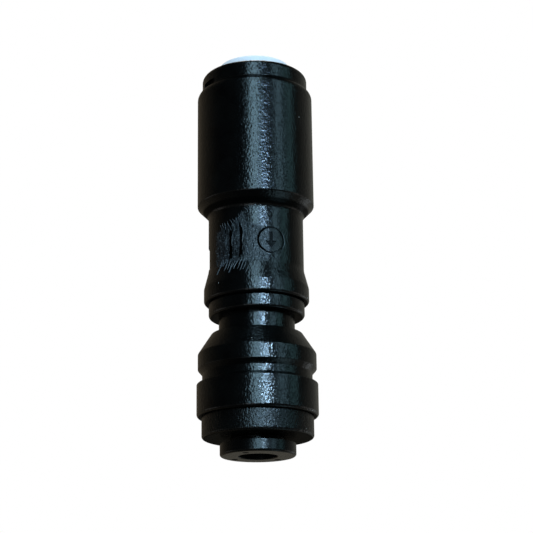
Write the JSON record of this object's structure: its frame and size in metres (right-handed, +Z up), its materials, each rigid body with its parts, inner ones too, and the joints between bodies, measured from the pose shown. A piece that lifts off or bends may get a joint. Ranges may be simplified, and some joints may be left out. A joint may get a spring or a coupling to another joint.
{
  "type": "non-return valve",
  "caption": "Straight push-in non-return valve for small tube, with a white inlet collet, a waisted black body and a sprung poppet that closes against backflow.",
  "frame": {"origin": "centre of the outlet collet's flat end face, on which the valve stands", "axes": "+Z up the valve's axis from the outlet to the inlet, -Y towards the side with the moulded mark"},
  "size_m": [0.0202, 0.0202, 0.0689],
  "materials": {
    "black_acetal": "fine spark-eroded grain, satin",
    "white_acetal": "smooth, slightly glossy",
    "natural_acetal": "smooth moulded",
    "nitrile_rubber": "matt, lightly greased",
    "stainless_steel": "bright stamped and drawn"
  },
  "bodies": {
    "housing": {"inlet_end_cap": "black_acetal", "inlet_spacer": "natural_acetal", "inlet_o_ring": "nitrile_rubber", "main_body": "black_acetal", "cartridge_seat": "natural_acetal", "cartridge_o_ring": "nitrile_rubber", "valve_spring": "stainless_steel", "cartridge_cage": "natural_acetal", "outlet_body": "black_acetal", "outlet_o_ring": "nitrile_rubber", "outlet_spacer": "natural_acetal", "outlet_end_cap": "black_acetal"},
    "inlet_collet_body": {"inlet_collet": "white_acetal", "inlet_collet_teeth": "stainless_steel"},
    "outlet_collet_body": {"outlet_collet": "black_acetal", "outlet_collet_teeth": "stainless_steel"},
    "poppet_body": {"poppet": "natural_acetal", "poppet_seal": "nitrile_rubber", "poppet_nose": "natural_acetal"}
  },
  "joints": [
    {"name": "inlet_collet_slide", "type": "slide", "parent": "housing", "child": "inlet_collet_body", "axis": [0, 0, 1], "range_m": [0, 0.0015]},
    {"name": "outlet_collet_slide", "type": "slide", "parent": "housing", "child": "outlet_collet_body", "axis": [0, 0, -1], "range_m": [-0.0009, 0.0006]},
    {"name": "poppet_lift", "type": "slide", "parent": "housing", "child": "poppet_body", "axis": [0, 0, -1], "range_m": [0, 0.0022], "stiffness_N_per_m": 80, "springref_m": -0.002, "deforming": ["valve_spring"]}
  ]
}
